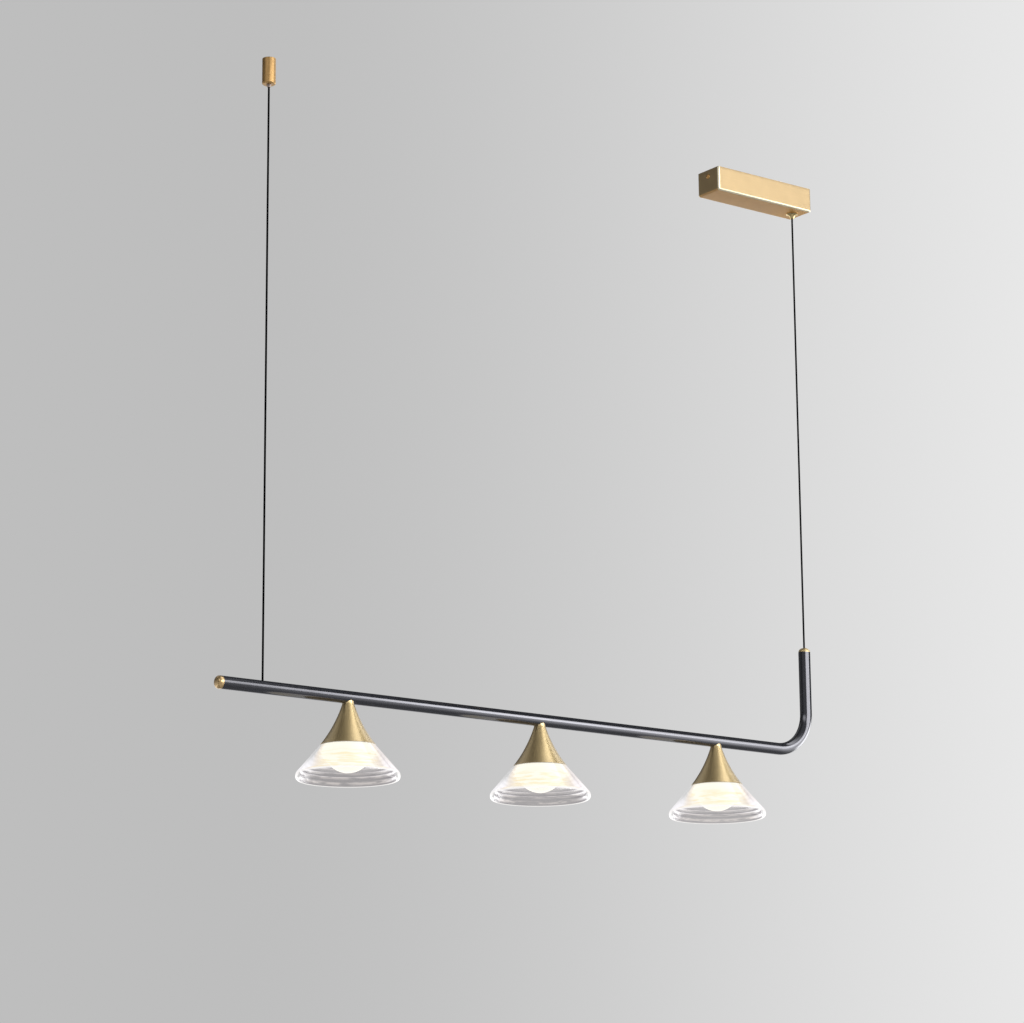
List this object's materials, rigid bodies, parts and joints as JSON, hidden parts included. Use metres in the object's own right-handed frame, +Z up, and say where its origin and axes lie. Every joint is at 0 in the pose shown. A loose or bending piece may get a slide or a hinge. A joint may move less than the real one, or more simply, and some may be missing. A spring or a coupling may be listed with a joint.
{
  "type": "linear pendant light",
  "caption": "Linear pendant light: a black tube, bent up at its far end, carries brass trumpet heads with ribbed glass shades and hangs from a ceiling canopy by its cord and a steel cable.",
  "frame": {"origin": "centre of the canopy bracket's two ceiling slots, in the ceiling plane", "axes": "+X along the tube towards its bent-up arm, +Z up into the ceiling, -Y the near long side in the picture"},
  "size_m": [1.1246, 0.15, 1.0585],
  "materials": {
    "satin_brass": "brushed and lacquered",
    "raw_brass": "turned",
    "nickel": "nickel plated",
    "zinc_steel": "zinc plated",
    "hard_steel": "hardened",
    "black_cable": "stranded, blackened",
    "cord_sheath": "matt sheath",
    "lead_sleeve": "insulated wire",
    "black_lacquer": "satin black",
    "driver_case": "moulded",
    "terminal_plastic": "moulded",
    "cast_aluminium": "die cast",
    "white_board": "white solder mask",
    "opal_acrylic": "opal, lit from inside",
    "clear_glass": "clear, pressed rings inside",
    "silicone": "clear silicone"
  },
  "bodies": {
    "ceiling_set": {"canopy_cover": "satin_brass", "mounting_bracket": "zinc_steel", "canopy_screws": "satin_brass", "led_driver": "driver_case", "driver_screws": "zinc_steel", "terminal_block": "terminal_plastic", "earth_screw": "raw_brass", "input_leads": "lead_sleeve", "output_leads": "lead_sleeve", "cord_grip": "satin_brass", "clamp_screw": "hard_steel", "grip_nut": "raw_brass", "cord_clamp": "terminal_plastic", "cord_head": "cord_sheath", "gripper_base": "raw_brass", "gripper_barrel": "satin_brass", "grip_jaw": "hard_steel", "spring_plug": "raw_brass", "grip_spring": "hard_steel", "cable_tail": "black_cable"},
    "release_plunger": {"plunger": "nickel", "grip_balls": "hard_steel"},
    "hanger": {"cable_flex": "black_cable", "cord_flex": "cord_sheath"},
    "cable": {"suspension_cable": "black_cable"},
    "cord": {"power_cord": "cord_sheath"},
    "bar": {"bar_tube": "black_lacquer", "end_cap": "satin_brass", "arm_cap": "satin_brass", "cable_stop": "black_cable", "arm_cord_clamp": "terminal_plastic", "bar_wiring": "cord_sheath", "stems": "zinc_steel", "stem_nuts": "raw_brass", "board_screws": "zinc_steel", "brass_cone_1": "satin_brass", "brass_cone_2": "satin_brass", "brass_cone_3": "satin_brass", "heat_sink_1": "cast_aluminium", "heat_sink_2": "cast_aluminium", "heat_sink_3": "cast_aluminium", "led_board_1": "white_board", "led_board_2": "white_board", "led_board_3": "white_board", "diffuser_1": "opal_acrylic", "diffuser_2": "opal_acrylic", "diffuser_3": "opal_acrylic", "glass_shade_1": "clear_glass", "glass_shade_2": "clear_glass", "glass_shade_3": "clear_glass", "shade_gasket_1": "silicone", "shade_gasket_2": "silicone", "shade_gasket_3": "silicone"}
  },
  "joints": [
    {"name": "swing", "type": "hinge", "parent": "ceiling_set", "child": "hanger", "pos_m": [-0.945, 0, -0.0447], "axis": [1, 0, -0.0032], "range_deg": [-15, 15]},
    {"name": "cable_sway", "type": "hinge", "parent": "hanger", "child": "cable", "pos_m": [-0.945, 0, -0.0447], "axis": [0, 1, 0], "range_deg": [-4, 4]},
    {"name": "bar_level", "type": "hinge", "parent": "cable", "child": "bar", "pos_m": [-0.945, 0, -0.9295], "axis": [0, 1, 0], "range_deg": [-4, 4]},
    {"name": "cord_sway", "type": "hinge", "parent": "hanger", "child": "cord", "pos_m": [0.0805, 0, -0.048], "axis": [0, 1, 0], "range_deg": [-4.9, 4.9]},
    {"name": "gripper_release", "type": "slide", "parent": "ceiling_set", "child": "release_plunger", "axis": [0, 0, 1], "range_m": [0, 0.002], "stiffness_N_per_m": 120, "springref_m": -0.004, "deforming": ["grip_spring"]}
  ],
  "couplings": [
    {"joint": "bar_level", "follows": "cable_sway", "ratio": -1},
    {"joint": "cord_sway", "follows": "cable_sway", "ratio": 1.2238}
  ]
}
